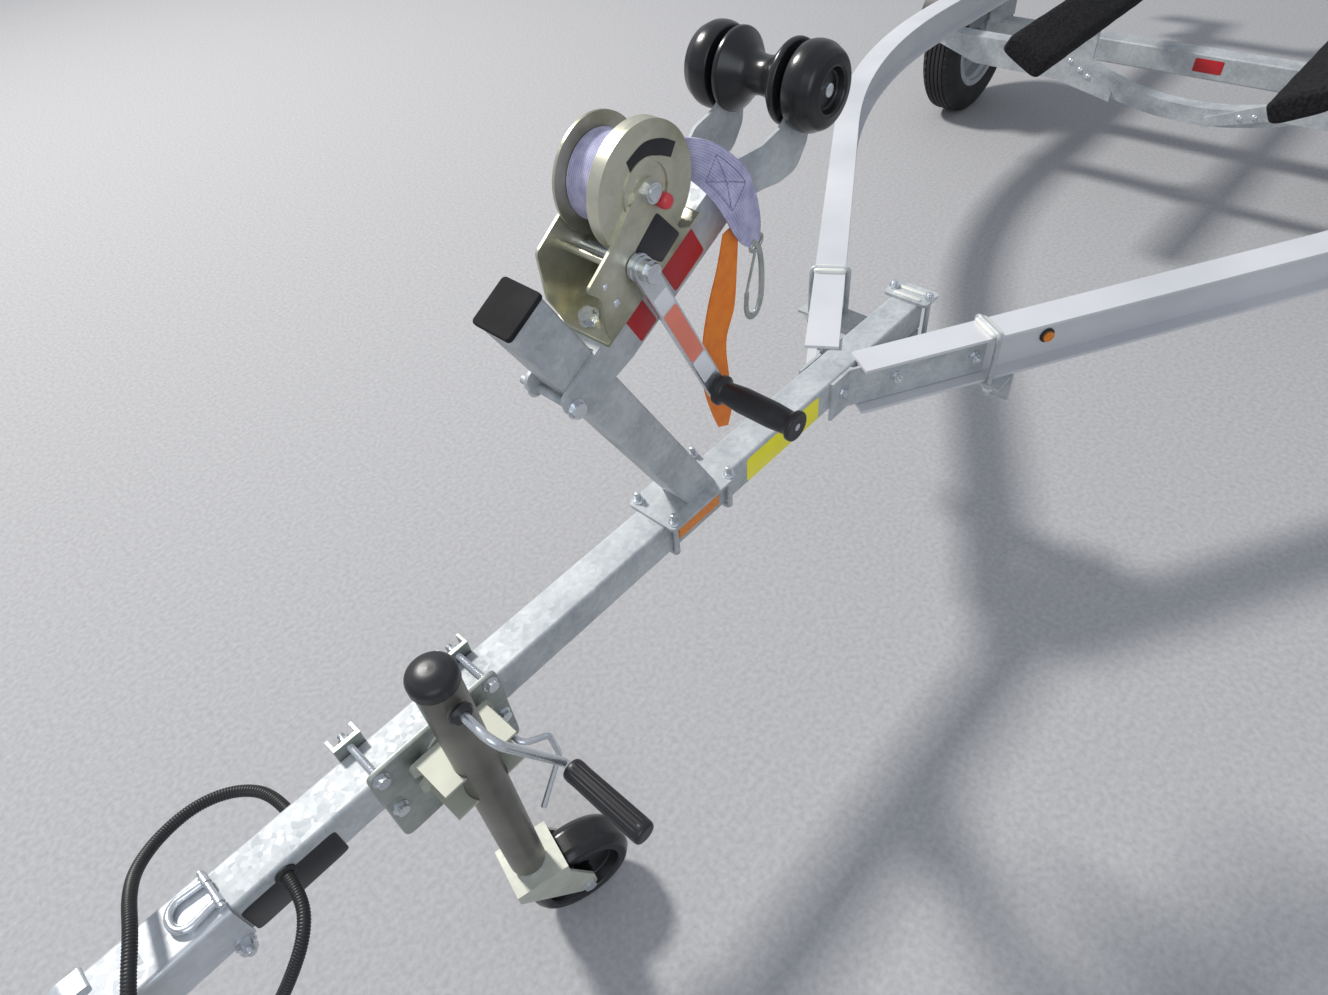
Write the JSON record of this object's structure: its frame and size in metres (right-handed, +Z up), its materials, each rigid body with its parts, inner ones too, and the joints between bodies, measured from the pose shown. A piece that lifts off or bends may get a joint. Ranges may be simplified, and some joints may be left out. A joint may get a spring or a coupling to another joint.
{
  "type": "boat trailer",
  "caption": "Single-axle boat trailer with splayed aluminium I-beams, carpeted bunks, leaning winch post with strap winch and bow roller, swing-up jockey wheel and ball coupling.",
  "frame": {"origin": "on the ground below the middle of the trailer's length, on its centre line", "axes": "+X forward to the coupling, +Y to the trailer's left, +Z up"},
  "size_m": [4.985, 2.066, 1.1664],
  "materials": {
    "galvanised": "dull spangled zinc",
    "aluminium": "mill finish",
    "gold_zinc": "yellow passivated zinc",
    "olive_zinc": "dark olive passivated zinc",
    "bright_zinc": "bright zinc",
    "cream_zinc": "pale passivated zinc",
    "black_plastic": "satin",
    "black_rubber": "satin",
    "tyre": "dull",
    "lilac_webbing": "woven",
    "orange_webbing": "woven",
    "carpet": "napped",
    "lamp": "moulded lens",
    "sleeve": "corrugated"
  },
  "bodies": {
    "frame": {"tongue": "galvanised", "coupling_head": "bright_zinc", "coupling_latch": "bright_zinc", "shackle": "bright_zinc", "beam_left": "aluminium", "beam_right": "aluminium", "front_cross": "galvanised", "frame_plates": "galvanised", "bolts": "galvanised", "post_foot": "galvanised", "winch_post": "galvanised", "post_cap": "black_plastic", "winch_arm": "galvanised", "winch_frame": "gold_zinc", "webbing_tail": "lilac_webbing", "snap_hook": "bright_zinc", "tie_strap": "orange_webbing", "roller_shaft": "bright_zinc", "drop_cross": "aluminium", "rear_cross": "galvanised", "bunk_brackets": "galvanised", "bunks": "carpet", "axle_tube": "galvanised", "axle_arms": "galvanised", "mudguards": "black_plastic", "lamps": "lamp", "conduit": "sleeve", "jack_mount": "galvanised"},
    "jack": {"jack_tube": "olive_zinc", "jack_cap": "black_plastic", "pull_pin": "bright_zinc"},
    "jack_crank": {"jack_crank": "bright_zinc", "jack_grip": "black_plastic"},
    "jack_leg": {"jack_leg": "bright_zinc"},
    "jockey_fork": {"jack_fork": "cream_zinc"},
    "jockey_wheel": {"jockey_wheel": "black_rubber"},
    "drum": {"winch_drum": "gold_zinc", "drum_webbing": "lilac_webbing"},
    "winch_crank": {"winch_crank": "bright_zinc", "winch_grip": "black_plastic"},
    "bow_roller": {"bow_roller": "black_rubber"},
    "wheel_left": {"rim_left": "galvanised", "tyre_left": "tyre"},
    "wheel_right": {"rim_right": "galvanised", "tyre_right": "tyre"}
  },
  "joints": [
    {"name": "jack_swing", "type": "hinge", "parent": "frame", "child": "jack", "pos_m": [1.883, 0.05, 0.508], "axis": [0, 1, 0], "range_deg": [0, 90]},
    {"name": "jack_crank_turn", "type": "hinge", "parent": "jack", "child": "jack_crank", "pos_m": [1.883, 0.14, 0.69], "axis": [0, 1, 0], "range_deg": [-470, 14950]},
    {"name": "jack_leg_slide", "type": "slide", "parent": "jack", "child": "jack_leg", "axis": [0, 0, -1], "range_m": [-0.008, 0.25]},
    {"name": "jockey_swivel", "type": "hinge", "parent": "jack_leg", "child": "jockey_fork", "pos_m": [1.883, 0.101, 0.19], "axis": [0, 0, 1], "continuous": true},
    {"name": "jockey_roll", "type": "hinge", "parent": "jockey_fork", "child": "jockey_wheel", "pos_m": [1.81828, 0.11834, 0.089], "axis": [0.2588, 0.9659, 0], "continuous": true},
    {"name": "drum_spin", "type": "hinge", "parent": "frame", "child": "drum", "pos_m": [1.4189, 0, 1.08744], "axis": [0, 1, 0], "continuous": true},
    {"name": "winch_crank_turn", "type": "hinge", "parent": "frame", "child": "winch_crank", "pos_m": [1.45235, 0, 1.01189], "axis": [0, 1, 0], "continuous": true},
    {"name": "bow_roller_spin", "type": "hinge", "parent": "frame", "child": "bow_roller", "pos_m": [1.14981, 0, 1.11386], "axis": [0, 1, 0], "continuous": true},
    {"name": "wheel_left_roll", "type": "hinge", "parent": "frame", "child": "wheel_left", "pos_m": [-1.412, 0.958, 0.264], "axis": [0, 1, 0], "continuous": true},
    {"name": "wheel_right_roll", "type": "hinge", "parent": "frame", "child": "wheel_right", "pos_m": [-1.412, -0.958, 0.264], "axis": [0, 1, 0], "continuous": true}
  ],
  "couplings": [
    {"joint": "winch_crank_turn", "follows": "drum_spin", "ratio": -3.75},
    {"joint": "jack_leg_slide", "follows": "jack_crank_turn", "m_per_rad": 0.00095493}
  ]
}
